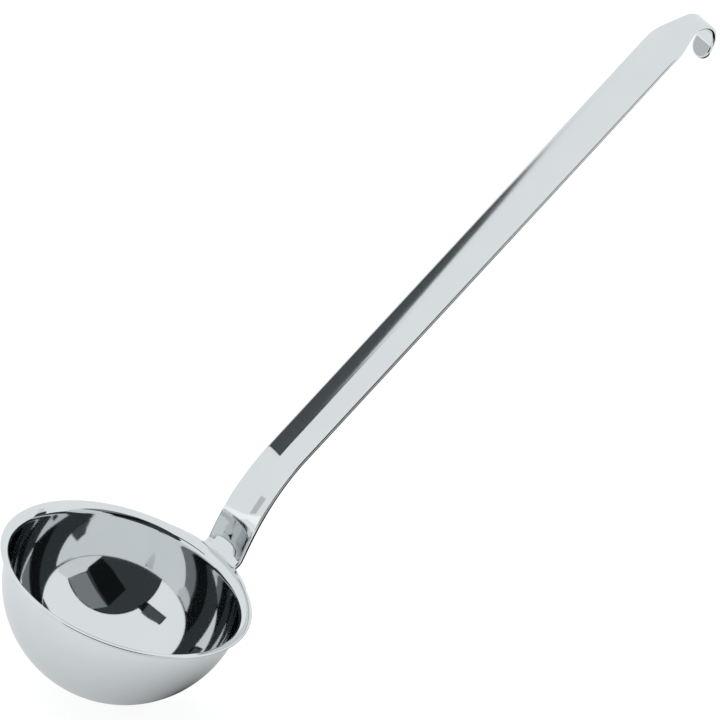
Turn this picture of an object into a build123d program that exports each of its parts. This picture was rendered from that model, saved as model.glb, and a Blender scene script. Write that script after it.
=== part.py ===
from build123d import *
import math
import os

# Soup ladle: a deep-drawn bowl with a flared rim, and a trough-shaped strip
# handle that is welded to the rim's outer edge and ends in a hanging hook.
# Lengths are in millimetres, angles in degrees.
# The profiles lie in the plane Y = 0, with the centre of the bowl's sphere at
# its zero point. The finished pieces are moved so that the origin is the axis
# of the hook's bend.

# Bowl: a hemisphere that turns outwards into a narrow rim
bowl_outer_radius = 50.0
bowl_sheet = 1.0
rim_start_drop = 1.8
rim_curve_radius = 3.6
rim_rise_angle = 12.0
rim_flat = 1.2

# Handle: its front side, the hollow side of the trough, faces the bowl
handle_width = 18.0
handle_thickness = 2.0
handle_trough_depth = 1.2
handle_angle = 50.5
handle_straight = 217.6
edge_radius = 0.7

# Root of the handle: it folds up from the rim and curves into the straight
root_width = 19.6
root_thickness = 2.6
root_angle = 84.0
root_straight = 4.35
fold_radius = 2.8
neck_radius = 80.3

# Hook: the strip bends over backwards, and narrows on its way into the bend
hook_width = 10.0
shoulder_radius = 60.0
hook_inner_radius = 9.6
hook_start_angle = 33.5
taper_start_angle = 45.0
taper_end_angle = 12.0
taper_steps = 4
hook_end_angle = -97.0
tail_straight = 2.6

# Weld between the rim's edge and the handle's root: it runs out beside the root
# in two ears, under one arc that reaches beyond the rim
weld_gap = 0.25
weld_throat = 0.9
ear_reach = 2.1
ear_end_reach = 0.4
ear_half_span = 22.8
ear_edge_radius = 0.5
ear_drop = 0.1


def heading(angle):
    """Unit direction at an angle above +X, in the plane Y = 0."""
    return Vector(math.cos(math.radians(angle)), 0, math.sin(math.radians(angle)))


def arc_about(centre, radius, first_angle, last_angle):
    """Arc about a centre, from one angle to another, in the plane Y = 0."""
    middle_angle = (first_angle + last_angle) / 2
    return ThreePointArc(
        centre + radius * heading(first_angle),
        centre + radius * heading(middle_angle),
        centre + radius * heading(last_angle),
    )


def strip_plane(point, lean):
    """Plane square to the strip: its x is the width and its y the front side."""
    return Plane(origin=point, x_dir=(0, 1, 0), z_dir=heading(lean))


def strip_section(width, thickness, trough_depth):
    """Section of the strip with rounded edges: its front edges lie on y = 0."""
    half = width / 2
    front = [(half, 0), (-half, 0)]
    back = [(-half, -thickness), (half, -thickness)]
    if trough_depth == 0:
        faces = [Line(*front), Line(*back)]
    else:
        faces = [
            ThreePointArc(front[0], (0, -trough_depth), front[1]),
            ThreePointArc(back[0], (0, -trough_depth - thickness), back[1]),
        ]
    sides = [Line(front[1], back[0]), Line(back[1], front[0])]
    outline = make_face(faces + sides)
    return fillet(outline.vertices(), edge_radius)


def eased(share):
    """Share of a change that starts and ends gently."""
    return share * share * (3 - 2 * share)


# Bowl
rim_start_angle = -math.degrees(math.asin(rim_start_drop / bowl_outer_radius))
bowl_inner_radius = bowl_outer_radius - bowl_sheet
rim_outside_radius = rim_curve_radius - bowl_sheet
rim_centre = (bowl_outer_radius + rim_outside_radius) * heading(rim_start_angle)
rim_end_angle = rim_rise_angle + 90
rim_run = rim_flat * heading(rim_rise_angle)
rim_top = rim_centre + rim_curve_radius * heading(rim_end_angle) + rim_run
rim_bottom = rim_centre + rim_outside_radius * heading(rim_end_angle) + rim_run
rim_tip = (rim_top + rim_bottom) / 2 + bowl_sheet / 2 * heading(rim_rise_angle)
sphere_centre = Vector(0, 0, 0)

inside_wall = arc_about(sphere_centre, bowl_inner_radius, -90, rim_start_angle)
inside_curve = arc_about(rim_centre, rim_curve_radius, rim_start_angle + 180, rim_end_angle)
outside_curve = arc_about(rim_centre, rim_outside_radius, rim_end_angle, rim_start_angle + 180)
outside_wall = arc_about(sphere_centre, bowl_outer_radius, rim_start_angle, -90)
bowl_profile = make_face([
    inside_wall,
    inside_curve,
    Line(inside_curve @ 1, rim_top),
    ThreePointArc(rim_top, rim_tip, rim_bottom),
    Line(rim_bottom, outside_curve @ 0),
    outside_curve,
    outside_wall,
    Line(outside_wall @ 1, inside_wall @ 0),
])
bowl = revolve(bowl_profile, Axis.Z)

# Stations along the handle, each on the line of its front edges
root_point = rim_top + (bowl_sheet / 2 + weld_gap) * heading(rim_rise_angle)
fold_centre = root_point + fold_radius * heading(rim_rise_angle + 90)
fold_end = fold_centre + fold_radius * heading(root_angle - 90)
neck_start = fold_end + root_straight * heading(root_angle)
neck_centre = neck_start + neck_radius * heading(root_angle - 90)
neck_end = neck_centre + neck_radius * heading(handle_angle + 90)
shoulder_start = neck_end + handle_straight * heading(handle_angle)
shoulder_centre = shoulder_start + shoulder_radius * heading(handle_angle - 90)
hook_start = shoulder_centre + shoulder_radius * heading(hook_start_angle + 90)
hook_outer_radius = hook_inner_radius + handle_thickness
hook_centre = hook_start + hook_outer_radius * heading(hook_start_angle - 90)
tail_start = hook_centre + hook_outer_radius * heading(hook_end_angle + 90)
tail_end = tail_start + tail_straight * heading(hook_end_angle)

# Handle
root_section = strip_section(root_width, root_thickness, 0)
handle_section = strip_section(handle_width, handle_thickness, handle_trough_depth)
hook_section = strip_section(hook_width, handle_thickness, 0)

# The root starts inside the rim's circle, and is then cut back to it
root_overlap = root_point.X - math.sqrt(root_point.X ** 2 - (root_width / 2) ** 2) + edge_radius
foot = extrude(strip_plane(root_point, rim_rise_angle) * root_section, -root_overlap)
fold = sweep(
    strip_plane(root_point, rim_rise_angle) * root_section,
    path=arc_about(fold_centre, fold_radius, rim_rise_angle - 90, root_angle - 90),
)
rise = extrude(strip_plane(fold_end, root_angle) * root_section, root_straight)
neck_sections = [
    strip_plane(neck_start, root_angle) * root_section,
    strip_plane(neck_end, handle_angle) * handle_section,
]
neck = sweep(
    neck_sections,
    path=arc_about(neck_centre, neck_radius, root_angle + 90, handle_angle + 90),
    multisection=True,
)
straight = extrude(strip_plane(neck_end, handle_angle) * handle_section, handle_straight)
shoulder = sweep(
    strip_plane(shoulder_start, handle_angle) * handle_section,
    path=arc_about(shoulder_centre, shoulder_radius, handle_angle + 90, taper_start_angle + 90),
)

# Over the taper the strip narrows, and its trough is flat when the hook starts
shoulder_taper_run = shoulder_radius * math.radians(taper_start_angle - hook_start_angle)
hook_taper_run = hook_outer_radius * math.radians(hook_start_angle - taper_end_angle)


def taper_section(run):
    """Section of the strip at a run along the taper."""
    width_share = eased(run / (shoulder_taper_run + hook_taper_run))
    flat_share = eased(min(1, run / shoulder_taper_run))
    width = handle_width + (hook_width - handle_width) * width_share
    return strip_section(width, handle_thickness, handle_trough_depth * (1 - flat_share))


def taper_sweep(centre, radius, first_lean, last_lean, first_run):
    """Part of the taper that bends about one centre, from one lean to another."""
    stations = []
    for step in range(taper_steps + 1):
        turn = (first_lean - last_lean) * step / taper_steps
        lean = first_lean - turn
        section = taper_section(first_run + radius * math.radians(turn))
        stations.append(strip_plane(centre + radius * heading(lean + 90), lean) * section)
    path = arc_about(centre, radius, first_lean + 90, last_lean + 90)
    return sweep(stations, path=path, multisection=True)


shoulder_taper = taper_sweep(shoulder_centre, shoulder_radius, taper_start_angle, hook_start_angle, 0)
hook_taper = taper_sweep(
    hook_centre, hook_outer_radius, hook_start_angle, taper_end_angle, shoulder_taper_run
)
hook_bend = hook_centre + hook_outer_radius * heading(taper_end_angle + 90)
hook = sweep(
    strip_plane(hook_bend, taper_end_angle) * hook_section,
    path=arc_about(hook_centre, hook_outer_radius, taper_end_angle + 90, hook_end_angle + 90),
)
tail = extrude(strip_plane(tail_start, hook_end_angle) * hook_section, tail_straight)
tip_axis = Axis(tail_end, heading(hook_end_angle - 90))
half_section = split(hook_section, Plane.YZ, keep=Keep.TOP)
tip = revolve(strip_plane(tail_end, hook_end_angle) * half_section, tip_axis, 180)
handle = foot + fold + rise + neck + straight + shoulder + shoulder_taper + hook_taper + hook + tail + tip
root_cutter = Pos(0, 0, root_point.Z) * Cylinder(root_point.X, bowl_outer_radius)
handle = handle - root_cutter

# Weld: a ring section that starts at the rim's rounded edge, cut to the round
# outline of the ears and to the root that it holds
ear_end_angle = math.degrees(math.asin(ear_half_span / (rim_tip.X + ear_end_reach)))
ear_depth = ear_reach + rim_tip.X - ear_half_span / math.tan(math.radians(ear_end_angle))
ear_curve_radius = (ear_half_span ** 2 + ear_depth ** 2) / (2 * ear_depth)
ear_curve_offset = rim_tip.X + ear_reach - ear_curve_radius
ring_top = rim_top + (rim_tip.X + ear_reach - rim_top.X) * heading(rim_rise_angle)
ring_inner_foot = rim_bottom - Vector(0, 0, weld_throat)
ring_outer_foot = Vector(ring_top.X, 0, ring_inner_foot.Z)
ring_profile = make_face([
    Line(rim_top, ring_top),
    Line(ring_top, ring_outer_foot),
    Line(ring_outer_foot, ring_inner_foot),
    Line(ring_inner_foot, rim_bottom),
    ThreePointArc(rim_bottom, rim_tip, rim_top),
])
ring = revolve(Rot(0, 0, -ear_end_angle) * ring_profile, Axis.Z, 2 * ear_end_angle)
ear_top = rim_top.Z - ear_drop
ear_height = ear_top - ring_inner_foot.Z
ear_disc = Cylinder(ear_curve_radius, ear_height)
ear_disc = fillet(ear_disc.edges().filter_by(GeomType.CIRCLE), ear_edge_radius)
ears = ring & Pos(ear_curve_offset, 0, ear_top - ear_height / 2) * ear_disc

# The largest solid left is the weld: a sliver past the root's fold isn't part of it
weld = (ears - handle).solids().sort_by(SortBy.VOLUME)[-1]

to_origin = Pos(-hook_centre.X, 0, -hook_centre.Z)
pieces = {"bowl": bowl, "handle": handle, "weld": weld}

os.makedirs("parts", exist_ok=True)
for name, piece in pieces.items():
    export_step(to_origin * piece, "parts/" + name + ".step")

print("hook axis above the bowl's sphere centre", hook_centre)
print("rim: outer radius", rim_tip.X, "height", rim_tip.Z)
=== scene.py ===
import bmesh
import bpy
import math
from mathutils import Matrix, Vector


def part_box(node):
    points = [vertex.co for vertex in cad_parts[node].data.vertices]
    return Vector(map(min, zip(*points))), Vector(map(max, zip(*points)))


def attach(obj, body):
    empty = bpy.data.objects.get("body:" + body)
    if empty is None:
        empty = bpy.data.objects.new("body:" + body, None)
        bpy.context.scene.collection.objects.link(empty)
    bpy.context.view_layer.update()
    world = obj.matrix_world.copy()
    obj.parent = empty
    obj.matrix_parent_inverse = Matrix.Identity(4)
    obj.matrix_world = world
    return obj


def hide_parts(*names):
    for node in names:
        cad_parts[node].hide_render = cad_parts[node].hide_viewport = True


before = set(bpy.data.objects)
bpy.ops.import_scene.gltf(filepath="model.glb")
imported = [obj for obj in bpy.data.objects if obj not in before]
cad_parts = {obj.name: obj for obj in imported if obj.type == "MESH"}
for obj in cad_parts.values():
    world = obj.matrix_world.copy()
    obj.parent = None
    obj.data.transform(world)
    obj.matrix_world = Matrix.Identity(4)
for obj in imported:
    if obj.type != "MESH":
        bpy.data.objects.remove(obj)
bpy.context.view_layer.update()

# Bowl: one round of stainless steel sheet, deep-drawn into a hemisphere, with its
# edge turned out into a narrow rim, then polished to a mirror inside and out. Its
# profile is drawn from the middle of its bottom, over the rim and back underneath.
bowl_radius = 0.050
bowl_sheet = 0.001
rim_start_drop = 0.0018
rim_curve_radius = 0.0036
rim_lean = 12
rim_flat = 0.0012
wall_rows = 72
curve_rows = 16
lip_rows = 12
bowl_columns = 256
bowl_marks = (0.02, 0.02, 0.0008)
merge_distance = 0.000001
bowl_low, bowl_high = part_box("bowl")
bowl_centre = Vector(((bowl_low.x + bowl_high.x) / 2, 0, bowl_low.z + bowl_radius))


def heading(angle):
    """Unit direction at an angle above +X, in the ladle's middle plane."""
    return Vector((math.cos(angle), 0, math.sin(angle)))


def draw_arc(profile, last, centre, turn, steps):
    """Carries a profile on from its last vertex, round a centre and by a turn."""
    drawn = bmesh.ops.spin(profile, geom=[last], cent=centre, axis=(0, -1, 0), angle=turn, steps=steps)
    return [part for part in drawn["geom_last"] if isinstance(part, bmesh.types.BMVert)][0]


def draw_line(profile, last, run):
    """Carries a profile on from its last vertex, straight along a run."""
    drawn = bmesh.ops.extrude_vert_indiv(profile, verts=[last])["verts"]
    bmesh.ops.translate(profile, verts=drawn, vec=run)
    return drawn[0]


def make_object(name, shape, *materials):
    """Makes an object of a finished shape and its materials."""
    mesh = bpy.data.meshes.new(name)
    shape.to_mesh(mesh)
    shape.free()
    for material in materials:
        mesh.materials.append(material)
    made = bpy.data.objects.new(name, mesh)
    bpy.context.scene.collection.objects.link(made)
    return made


class Wire:
    """A socket of a material: the signs + * ** add Math nodes, node() adds any other."""

    def __init__(self, tree, socket=None):
        self.tree = tree
        self.socket = socket

    def node(self, kind, settings, values, output=0):
        """Adds a node, sets its settings, then gives its sockets their values or links."""
        added = self.tree.nodes.new(kind)
        for name, setting in settings.items():
            setattr(added, name, setting)
        for name, value in values.items():
            if isinstance(value, Wire):
                self.tree.links.new(value.socket, added.inputs[name])
            else:
                added.inputs[name].default_value = value
        return Wire(self.tree, None if output is None else added.outputs[output])

    def reckon(self, operation, first, second):
        return self.node("ShaderNodeMath", {"operation": operation}, {0: first, 1: second})

    def __add__(self, other):
        return self.reckon("ADD", self, other)

    def __mul__(self, other):
        return self.reckon("MULTIPLY", self, other)

    def __pow__(self, other):
        return self.reckon("POWER", self, other)

    def __rpow__(self, other):
        return self.reckon("POWER", other, self)

    __radd__ = __add__
    __rmul__ = __mul__


def bare_material(name):
    """A material that has no nodes yet, and the wire that adds them."""
    material = bpy.data.materials.new(name)
    material.use_nodes = True
    material.node_tree.nodes.clear()
    return material, Wire(material.node_tree)


def polished_steel(name, centre, lean, marks_size):
    """Mirror-polished stainless steel, with faint polishing marks along its grain."""
    mirror_roughness = 0.025
    marks_roughness = 0.03
    clouds_roughness = 0.03
    clouds_a_metre = 60
    darker_steel = (0.72, 0.745, 0.755, 1)
    lighter_steel = (0.76, 0.78, 0.785, 1)
    marks_depth = 0.000005
    marks_strength = 0.15
    material, steel = bare_material(name)
    place = steel.node("ShaderNodeTexCoord", {}, {}, "Object")
    grain = steel.node(
        "ShaderNodeMapping",
        {"vector_type": "TEXTURE"},
        {"Vector": place, "Location": centre, "Rotation": (0, -lean, 0), "Scale": marks_size},
    )
    marks = steel.node("ShaderNodeTexNoise", {}, {"Vector": grain, "Scale": 1, "Detail": 3})
    clouds = steel.node("ShaderNodeTexNoise", {}, {"Vector": place, "Scale": clouds_a_metre, "Detail": 2})
    roughness = mirror_roughness + marks_roughness * marks + clouds_roughness * clouds
    tint = steel.node(
        "ShaderNodeMix", {"data_type": "RGBA"}, {0: clouds, 6: darker_steel, 7: lighter_steel}, 2
    )
    relief = steel.node(
        "ShaderNodeBump", {}, {"Strength": marks_strength, "Distance": marks_depth, "Height": marks}
    )
    surface = steel.node(
        "ShaderNodeBsdfPrincipled",
        {},
        {"Base Color": tint, "Metallic": 1, "Roughness": roughness, "Normal": relief},
    )
    steel.node("ShaderNodeOutputMaterial", {}, {"Surface": surface}, None)
    return material


rim_rise = math.radians(rim_lean)
rim_start = -math.asin(rim_start_drop / bowl_radius)
rim_end = rim_rise + math.pi / 2
rim_outside_radius = rim_curve_radius - bowl_sheet
rim_centre = bowl_centre + (bowl_radius + rim_outside_radius) * heading(rim_start)
rim_run = rim_flat * heading(rim_rise)
rim_edge = rim_centre + (rim_outside_radius + bowl_sheet / 2) * heading(rim_end) + rim_run

bowl_shape = bmesh.new()
last = bowl_shape.verts.new(bowl_centre - Vector((0, 0, bowl_radius - bowl_sheet)))
last = draw_arc(bowl_shape, last, bowl_centre, math.pi / 2 + rim_start, wall_rows)
last = draw_arc(bowl_shape, last, rim_centre, rim_end - math.pi - rim_start, curve_rows)
last = draw_line(bowl_shape, last, rim_run)
last = draw_arc(bowl_shape, last, rim_edge, -math.pi, lip_rows)
last = draw_line(bowl_shape, last, -rim_run)
last = draw_arc(bowl_shape, last, rim_centre, math.pi + rim_start - rim_end, curve_rows)
last = draw_arc(bowl_shape, last, bowl_centre, -math.pi / 2 - rim_start, wall_rows)
bmesh.ops.spin(
    bowl_shape,
    geom=bowl_shape.verts[:] + bowl_shape.edges[:],
    cent=bowl_centre,
    axis=(0, 0, 1),
    angle=math.tau,
    steps=bowl_columns,
    use_merge=True,
)
bmesh.ops.remove_doubles(bowl_shape, verts=bowl_shape.verts[:], dist=merge_distance)
bmesh.ops.recalc_face_normals(bowl_shape, faces=bowl_shape.faces[:])
bowl = make_object("polished_bowl", bowl_shape, polished_steel("bowl_steel", bowl_centre, 0, bowl_marks))
bowl.data.shade_smooth()
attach(bowl, "root")
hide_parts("bowl")

# Handle: one long strip of stainless steel, 2 mm thick, pressed into a shallow trough
# that faces the bowl. A straight blank with rounded edges is made first, and then
# bent: up from the rim, over the neck, along the straight and down into the hook.
blank_half_width = 0.009
blank_thickness = 0.002
edge_rounding = 0.0009
edge_segments = 6
flat_cuts = 31
tip_columns = 32
trough_depth = 0.0012
neck_trough_depth = 0.0017
root_half_width = 0.0098
root_thickness = 0.0026
hook_half_width = 0.005
weld_gap = 0.00025
handle_marks = (0.03, 0.0006, 0.0006)

# Radii of the bends and lengths of the straight stretches, along the front side
fold_radius = 0.0028
rise_length = 0.00435
neck_radius = 0.0803
straight_length = 0.2176
shoulder_radius = 0.060
hook_radius = 0.0116
tail_length = 0.0026

# Leans of the strip, in degrees: where a bend ends, and where it narrows to the hook
rise_lean = 84
straight_lean = 50.5
taper_start_lean = 45
hook_start_lean = 33.5
taper_end_lean = 12
tail_lean = -97


def bend(radius, first_lean, last_lean):
    """Length of a bend along the front side, and its turn in degrees."""
    turn = last_lean - first_lean
    return radius * math.radians(abs(turn)), turn


# The strip from root to tail: length, turn in degrees and rows of each stretch
stretches = {
    "fold": (*bend(fold_radius, rim_lean, rise_lean), 20),
    "rise": (rise_length, 0, 4),
    "neck": (*bend(neck_radius, rise_lean, straight_lean), 60),
    "straight": (straight_length, 0, 120),
    "shoulder": (*bend(shoulder_radius, straight_lean, hook_start_lean), 30),
    "hook": (*bend(hook_radius, hook_start_lean, tail_lean), 80),
    "tail": (tail_length, 0, 4),
}
rim_top = rim_edge + bowl_sheet / 2 * heading(rim_end)
root_front = rim_top + (bowl_sheet / 2 + weld_gap) * heading(rim_rise)
root_circle = root_front.x - bowl_centre.x
blank_run = sum(length for length, turn, rows in stretches.values())
neck_start_run = stretches["fold"][0] + stretches["rise"][0]
straight_start_run = neck_start_run + stretches["neck"][0]
straight_end_run = straight_start_run + stretches["straight"][0]
taper_start_run = straight_end_run + shoulder_radius * math.radians(straight_lean - taper_start_lean)
trough_end_run = straight_end_run + stretches["shoulder"][0]
taper_end_run = trough_end_run + hook_radius * math.radians(hook_start_lean - taper_end_lean)


def eased(run, start, end):
    """Share of a change that starts and ends gently between two runs."""
    share = min(1, max(0, (run - start) / (end - start)))
    return share * share * (3 - 2 * share)


def station(run):
    """Point on the line of the strip's front edges, and the strip's lean there."""
    point = root_front.copy()
    lean = rim_rise
    for length, turn, rows in stretches.values():
        step = min(run, length)
        if turn == 0:
            point += step * heading(lean)
        else:
            radius = length / math.radians(turn)
            centre = point + radius * heading(lean + math.pi / 2)
            lean += step / radius
            point = centre - radius * heading(lean + math.pi / 2)
        run -= step
        if run <= 0:
            break
    return point, lean


def bend_blank(place):
    """Carries one point of the straight blank to its place on the finished handle."""
    run = min(place.x, blank_run)
    out = Vector((place.x - run, place.y, 0))
    neck_share = eased(run, neck_start_run, straight_start_run)
    half_width = root_half_width + (blank_half_width - root_half_width) * neck_share
    half_width += (hook_half_width - blank_half_width) * eased(run, taper_start_run, taper_end_run)
    thickness = root_thickness + (blank_thickness - root_thickness) * neck_share
    depth = neck_trough_depth * eased(run, 0, neck_start_run)
    depth += (trough_depth - neck_trough_depth) * neck_share
    depth *= 1 - eased(run, taper_start_run, trough_end_run)
    across = out.length
    middle = blank_half_width - edge_rounding
    if across > middle:
        width = half_width - (blank_half_width - across)
    else:
        width = across * (half_width - edge_rounding) / middle
    if across > 0:
        out *= width / across
    sunk = -place.z * thickness / blank_thickness + depth * (1 - (width / half_width) ** 2)
    # The root's end is cut to the circle of the rim
    if place.x == 0:
        run = math.sqrt(root_circle ** 2 - width ** 2) - root_circle
    point, lean = station(run)
    return point + out.x * heading(lean) + Vector((0, out.y, 0)) - sunk * heading(lean + math.pi / 2)


blank = bmesh.new()
bmesh.ops.create_grid(blank, x_segments=1, y_segments=1, size=1)
bmesh.ops.scale(blank, verts=blank.verts[:], vec=(blank_thickness / 2, blank_half_width, 1))
bmesh.ops.rotate(blank, verts=blank.verts[:], matrix=Matrix.Rotation(math.pi / 2, 3, "Y"))
bmesh.ops.translate(blank, verts=blank.verts[:], vec=(0, 0, -blank_thickness / 2))
bmesh.ops.bevel(
    blank,
    geom=blank.verts[:],
    offset=edge_rounding,
    offset_type="OFFSET",
    affect="VERTICES",
    segments=edge_segments,
    profile=0.5,
    material=-1,
)
flats = [edge for edge in blank.edges if edge.calc_length() > blank_half_width]
bmesh.ops.subdivide_edges(blank, edges=flats, cuts=flat_cuts)
outline = [edge for edge in blank.edges if edge.is_boundary]
for length, turn, rows in stretches.values():
    for row in range(rows):
        drawn = bmesh.ops.extrude_edge_only(blank, edges=outline)["geom"]
        outline = [part for part in drawn if isinstance(part, bmesh.types.BMEdge)]
        ends = [part for part in drawn if isinstance(part, bmesh.types.BMVert)]
        outline = [edge for edge in outline if edge.verts[0] in ends and edge.verts[1] in ends]
        bmesh.ops.translate(blank, verts=ends, vec=(length / rows, 0, 0))
half_outline = [edge for edge in outline if min(end.co.y for end in edge.verts) > -merge_distance]
bmesh.ops.spin(
    blank,
    geom=half_outline + list({end for edge in half_outline for end in edge.verts}),
    cent=(blank_run, 0, 0),
    axis=(0, 0, -1),
    angle=math.pi,
    steps=tip_columns,
)
bmesh.ops.remove_doubles(blank, verts=blank.verts[:], dist=merge_distance)
for vert in blank.verts:
    vert.co = bend_blank(vert.co)
bmesh.ops.recalc_face_normals(blank, faces=blank.faces[:])
handle_steel = polished_steel("handle_steel", (0, 0, 0), math.radians(straight_lean), handle_marks)
handle = make_object("polished_handle", blank, handle_steel)
handle.data.shade_smooth()
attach(handle, "root")
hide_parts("handle")

# Weld: the bead of steel that joins the handle's root to the rim's edge, ground
# into two rounded ears beside the root and polished with the rest.
weld_marks = (0.004, 0.004, 0.004)
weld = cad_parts["weld"]
weld_steel = polished_steel("weld_steel", bowl_centre, 0, weld_marks)
for material_slot in weld.material_slots:
    material_slot.material = weld_steel

# Studio: a plain pale floor, and a white light tent round the ladle with a round
# opening towards the camera, dark as the room beyond it, and a window above it. The
# steel mirrors the tent, its screens, cards and mat, but the camera sees only the floor.
view_right = Vector((0.69009, -0.65414, 0.30965))
view_up = Vector((0.17588, 0.56661, 0.80500))
view_back = Vector((-0.70202, -0.50106, 0.50606))
floor_radius = 4
floor_sides = 96
floor_gap = 0.00005
floor_grey = (0.25, 0.25, 0.25, 1)
floor_roughness = 0.6
floor_glow = 0.85
white = (1, 1, 1, 1)


def put_on_stage(name, shape, *materials):
    """Makes an object of a finished shape, for the stage round the ladle."""
    prop = make_object(name, shape, *materials)
    return prop


floor_height = bowl_low.z - floor_gap
floor_shape = bmesh.new()
bmesh.ops.create_circle(floor_shape, cap_ends=True, segments=floor_sides, radius=floor_radius)
bmesh.ops.translate(floor_shape, verts=floor_shape.verts[:], vec=(0, 0, floor_height))
floor_material = bpy.data.materials.new("pale_floor")
floor_material.use_nodes = True
floor_surface = floor_material.node_tree.nodes["Principled BSDF"]
floor_surface.inputs["Base Color"].default_value = floor_grey
floor_surface.inputs["Roughness"].default_value = floor_roughness
floor_surface.inputs["Emission Color"].default_value = white
floor_surface.inputs["Emission Strength"].default_value = floor_glow
put_on_stage("floor", floor_shape, floor_material)

# The tent: the places of its opening and its window are given, in degrees, as the
# angles at which they are seen from the bowl, to the right and up of the camera.
tent_radius = 0.6
opening_right = 10.8
opening_up = -16.8
opening_angle = 49.5
hem_angle = 1.5
window_right = -15
window_up = 42
window_angle = 28
opening_rows = 16
tent_rows = 48
tent_columns = 128
tent_merge_distance = 0.00001
pale_tint = (0.96, 0.99, 1, 1)
dark_tint = (0.8, 0.95, 1, 1)
tent_glow = 0.95
room_glow = 0.05
hem_glow = 0.005


def glow(name, colour, strength):
    """A surface that gives off even light."""
    material, light = bare_material(name)
    emission = light.node("ShaderNodeEmission", {}, {"Color": colour, "Strength": strength})
    light.node("ShaderNodeOutputMaterial", {}, {"Surface": emission}, None)
    return material


def seen_from_bowl(right, up):
    """Direction from the bowl at an angle to the right and up of the camera."""
    angle = math.radians(math.hypot(right, up))
    aside = (right * view_right + up * view_up).normalized()
    return math.cos(angle) * view_back + math.sin(angle) * aside


tent_shape = bmesh.new()
tent_middle = (0, 0, 0)
last = tent_shape.verts.new((0, 0, tent_radius))
last = draw_arc(tent_shape, last, tent_middle, -math.radians(opening_angle - hem_angle), opening_rows)
last = draw_arc(tent_shape, last, tent_middle, -math.radians(hem_angle), 1)
last = draw_arc(tent_shape, last, tent_middle, -math.radians(180 - opening_angle), tent_rows)
bmesh.ops.spin(
    tent_shape,
    geom=tent_shape.verts[:] + tent_shape.edges[:],
    cent=tent_middle,
    axis=(0, 0, 1),
    angle=math.tau,
    steps=tent_columns,
    use_merge=True,
)
bmesh.ops.remove_doubles(tent_shape, verts=tent_shape.verts[:], dist=tent_merge_distance)
tent_cloth = glow("tent_cloth", pale_tint, tent_glow)
tent_materials = [
    tent_cloth,
    glow("dark_room", dark_tint, room_glow),
    glow("tent_hem", dark_tint, hem_glow),
]
for face in tent_shape.faces:
    angle = math.degrees(Vector((0, 0, 1)).angle(face.calc_center_median()))
    if angle < opening_angle - hem_angle:
        face.material_index = 1
    elif angle < opening_angle:
        face.material_index = 2
opening_axis = seen_from_bowl(opening_right, opening_up)
opening_turn = opening_axis.to_track_quat("Z", "Y").to_matrix()
bmesh.ops.rotate(tent_shape, verts=tent_shape.verts[:], matrix=opening_turn)
window_axis = seen_from_bowl(window_right, window_up)
window_cloth = []
for face in tent_shape.faces:
    angle = math.degrees(window_axis.angle(face.calc_center_median()))
    if face.material_index == 0 and angle < window_angle:
        window_cloth.append(face)
bmesh.ops.delete(tent_shape, geom=window_cloth, context="FACES")
bmesh.ops.translate(tent_shape, verts=tent_shape.verts[:], vec=bowl_centre)
tent = put_on_stage("light_tent", tent_shape, *tent_materials)
tent.visible_camera = False

# Three screens hang just inside the tent's opening: the dark cloth round the camera,
# a grey one, and the tent's own flap.
screen_distance = 0.95 * tent_radius
grey_tint = (0.9, 0.97, 1, 1)
black_glow = 0.008
grey_glow = 0.24
flap_glow = 0.75


def panel(name, corners, material):
    """One flat panel between its corners, that only the steel's reflections see."""
    shape = bmesh.new()
    shape.faces.new([shape.verts.new(corner) for corner in corners])
    made = put_on_stage(name, shape, material)
    made.visible_camera = False
    made.visible_diffuse = False
    made.visible_shadow = False


def places_seen(distance, *angles):
    """Places at a distance from the bowl, each at an angle to the right and up of the camera."""
    return [bowl_centre + distance * seen_from_bowl(right, up) for right, up in angles]


black_cloth = glow("black_cloth", dark_tint, black_glow)
panel(
    "camera_cloth",
    places_seen(
        screen_distance,
        (16.8, 24.5), (0, 8.4), (1.2, 4.8), (14.4, -14.4), (24, -24), (38.4, -14.4), (33.6, -4.8),
    ),
    black_cloth,
)
panel(
    "grey_screen",
    places_seen(
        screen_distance, (18, 25), (36, -2.4), (39.6, -9.6), (58.8, -3.6), (48, 16.8), (33.6, 27.6)
    ),
    glow("grey_screen", grey_tint, grey_glow),
)
panel(
    "tent_flap",
    places_seen(
        screen_distance,
        (24, -25), (37, -14.4), (39.6, -10.8), (58.8, -3.6), (70, -10), (66, -50), (24, -68),
    ),
    glow("tent_flap", pale_tint, flap_glow),
)

# Beyond the window stand a slate screen, its black hem and the white wall of the room.
# The handle mirrors them as its long dark band.
slate_distance = 3
slate_hem_distance = 3.2
wall_distance = 4
slate_tint = (0.85, 0.95, 1, 1)
slate_glow = 0.085
panel(
    "slate_screen",
    places_seen(
        slate_distance,
        (-22.5, 22), (-39.3, 35.9), (-33.4, 41.6), (-31.5, 41.1), (-28.3, 39.4), (-22.8, 36.2),
        (-19.7, 34), (-16.4, 31.3), (-15, 29.6), (-17, 28.8), (-18, 27.5),
    ),
    glow("slate_screen", slate_tint, slate_glow),
)
panel(
    "slate_hem",
    places_seen(
        slate_hem_distance,
        (-19.5, 18.5), (-41, 35.6), (-34.4, 42.7), (-32.2, 42.3), (-29.3, 40.6), (-23.7, 37.4),
        (-20.5, 35.2), (-15.5, 31.4), (-11, 27), (-13.5, 23.5),
    ),
    black_cloth,
)
panel(
    "room_wall",
    places_seen(wall_distance, (-62, 10), (-55, 40), (-30, 75), (30, 75), (35, 30), (-10, 5)),
    tent_cloth,
)

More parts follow.
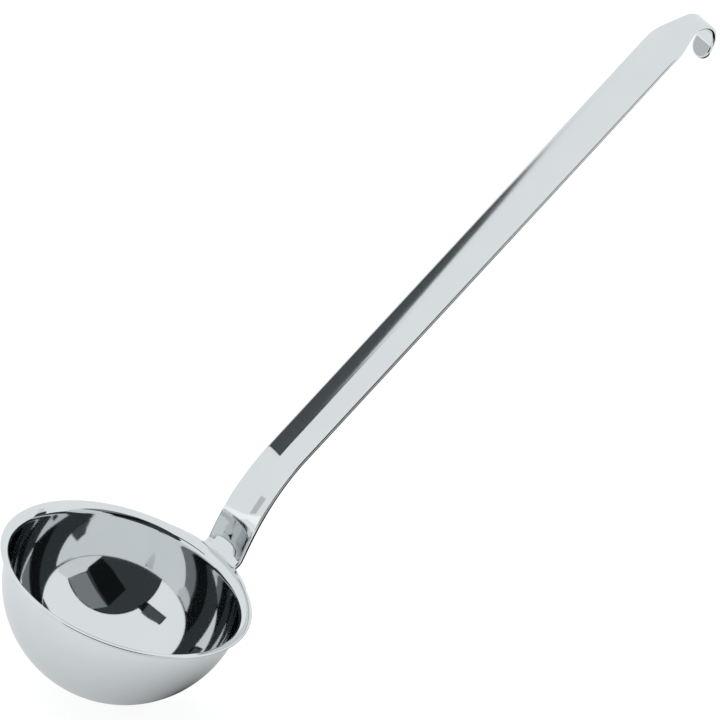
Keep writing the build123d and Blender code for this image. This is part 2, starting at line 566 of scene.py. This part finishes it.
# The side card hangs low inside the tent, where the hook's tail faces it.
side_card_distance = 0.6
side_card_place = side_card_distance * Vector((-0.803, 0.501, -0.324))
side_card_side = Vector((0.529, 0.848, 0))
side_card_rise = Vector((0.275, -0.172, 0.946))
side_card_corners = ((-0.04, -0.05), (0.04, -0.05), (0.04, 0.027), (-0.04, 0.043))
side_card_tint = (0.93, 0.98, 1, 1)
side_card_glow = 0.62
panel(
    "side_card",
    [side_card_place + side * side_card_side + rise * side_card_rise for side, rise in side_card_corners],
    glow("side_card", side_card_tint, side_card_glow),
)

# The floor card lies on the floor under the bowl and holds a painted shadow: its colour darkens towards
# one place, in the way of the bowl's soft shade.
card_gap = 0.00002
card_half_width = 0.3
card_light = (0.9408, 0.9653, 0.98, 1)
card_painted_shadow = (0.0192, 0.0197, 0.02, 1)
shade_reach = 0.055
floor_card_place = Vector((bowl_centre.x, 0, floor_height + card_gap))
painted_shadow_centre = floor_card_place + Vector((0.030, -0.028, 0))
floor_card_corners = [
    floor_card_place + card_half_width * Vector(corner)
    for corner in ((1, 1, 0), (-1, 1, 0), (-1, -1, 0), (1, -1, 0))
]
card_material, card = bare_material("floor_card")
card_spot = card.node(
    "ShaderNodeMapping",
    {"vector_type": "TEXTURE"},
    {
        "Vector": card.node("ShaderNodeTexCoord", {}, {}, "Object"),
        "Location": painted_shadow_centre,
        "Scale": (shade_reach, shade_reach, shade_reach),
    },
)
distance = card.node("ShaderNodeVectorMath", {"operation": "LENGTH"}, {0: card_spot}, "Value")
# Painted shadow: the card's colour is darkest at the shadow's centre and lightens with distance from it.
shade = (1 / math.e) ** distance
card_colour = card.node("ShaderNodeMix", {"data_type": "RGBA"}, {0: shade, 6: card_light, 7: card_painted_shadow}, 2)
card_emission = card.node("ShaderNodeEmission", {}, {"Color": card_colour, "Strength": 1})
card.node("ShaderNodeOutputMaterial", {}, {"Surface": card_emission}, None)
panel("floor_card", floor_card_corners, card_material)

# The dark mat lies on the floor to the right, where the strip's narrow side faces it.
mat_place = floor_card_place + Vector((0, 0, card_gap))
mat_corners = (
    (0.14, 0.02), (0.16, 0.06), (0.6, 0.16), (0.66, -0.1),
    (0.5, -0.42), (0.2, -0.56), (0.1, -0.25), (0.11, -0.07),
)
panel("dark_mat", [mat_place + Vector((*corner, 0)) for corner in mat_corners], black_cloth)

studio = bpy.data.worlds.new("studio")
studio.use_nodes = True
studio.node_tree.nodes["Background"].inputs["Color"].default_value = white
studio.node_tree.nodes["Background"].inputs["Strength"].default_value = 1
bpy.context.scene.world = studio
bpy.context.scene.view_settings.view_transform = "Standard"

# Camera: a long lens far off, along the photograph's line of sight. The frame takes
# in the ladle and little more.
looked_at = Vector((-0.13376, 0.00077, -0.13179))
camera_distance = 13
frame_width = 0.29268
sensor_width = 36
lens = bpy.data.cameras.new("camera")
lens.sensor_width = sensor_width
lens.lens = sensor_width * camera_distance / frame_width
camera = bpy.data.objects.new("camera", lens)
camera_turn = Matrix((view_right, view_up, view_back)).transposed().to_4x4()
camera.matrix_world = Matrix.Translation(looked_at + camera_distance * view_back) @ camera_turn
bpy.context.scene.collection.objects.link(camera)
bpy.context.scene.camera = camera
